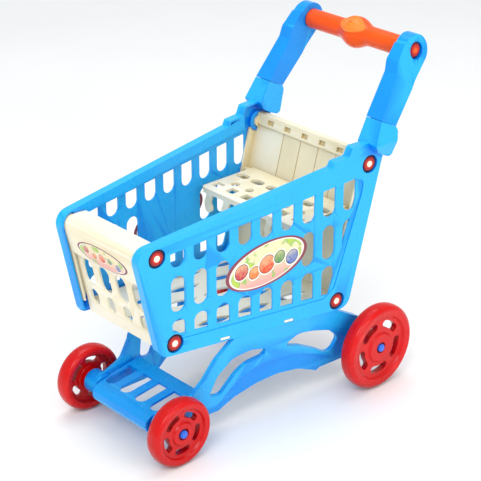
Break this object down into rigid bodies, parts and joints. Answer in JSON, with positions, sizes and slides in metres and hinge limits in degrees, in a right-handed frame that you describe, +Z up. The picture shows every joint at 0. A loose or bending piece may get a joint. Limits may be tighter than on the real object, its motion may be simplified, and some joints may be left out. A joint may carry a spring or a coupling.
{
  "type": "toy shopping cart",
  "caption": "Child's snap-together plastic shopping cart: slotted basket, folding seat, push handle on two arms and four free-spinning wheels on an open chassis.",
  "frame": {"origin": "centre of the bounding box on the floor under the cart", "axes": "+X towards the cart's right side, the front faces -Y and the handle is at +Y, +Z up"},
  "size_m": [0.2256, 0.3846, 0.3925],
  "materials": {
    "blue_plastic": "gloss",
    "cream_plastic": "satin",
    "red_plastic": "gloss",
    "orange_plastic": "gloss",
    "ring_plastic": "gloss",
    "cap_plastic": "gloss",
    "label_film": "satin",
    "axle_steel": "drawn"
  },
  "bodies": {
    "cart": {"side_panel_right": "blue_plastic", "side_panel_left": "blue_plastic", "chassis_side_right": "blue_plastic", "chassis_side_left": "blue_plastic", "handle_arm_right": "blue_plastic", "handle_arm_left": "blue_plastic", "grip": "orange_plastic", "front_panel": "cream_plastic", "rear_panel": "cream_plastic", "basket_floor": "cream_plastic", "front_deck": "blue_plastic", "front_axle": "axle_steel", "rear_axle": "axle_steel", "axle_caps": "cap_plastic", "lock_rings_right": "ring_plastic", "lock_rings_left": "ring_plastic", "grip_lock_rings": "ring_plastic", "side_label_right": "label_film", "side_label_left": "label_film", "front_label": "label_film"},
    "seat": {"child_seat": "cream_plastic"},
    "front_wheel_right_body": {"front_wheel_right": "red_plastic"},
    "front_wheel_left_body": {"front_wheel_left": "red_plastic"},
    "rear_wheel_right_body": {"rear_wheel_right": "red_plastic"},
    "rear_wheel_left_body": {"rear_wheel_left": "red_plastic"}
  },
  "joints": [
    {"name": "front_wheel_right_spin", "type": "hinge", "parent": "cart", "child": "front_wheel_right_body", "pos_m": [0.0763, -0.15319, 0.0378], "axis": [1, 0, 0], "continuous": true},
    {"name": "front_wheel_left_spin", "type": "hinge", "parent": "cart", "child": "front_wheel_left_body", "pos_m": [-0.0763, -0.15319, 0.0378], "axis": [1, 0, 0], "continuous": true},
    {"name": "rear_wheel_right_spin", "type": "hinge", "parent": "cart", "child": "rear_wheel_right_body", "pos_m": [0.1029, 0.11221, 0.05], "axis": [1, 0, 0], "continuous": true},
    {"name": "rear_wheel_left_spin", "type": "hinge", "parent": "cart", "child": "rear_wheel_left_body", "pos_m": [-0.1029, 0.11221, 0.05], "axis": [1, 0, 0], "continuous": true},
    {"name": "seat_fold", "type": "hinge", "parent": "cart", "child": "seat", "pos_m": [0, 0.08631, 0.213], "axis": [-1, 0, 0], "range_deg": [0, 80]}
  ]
}
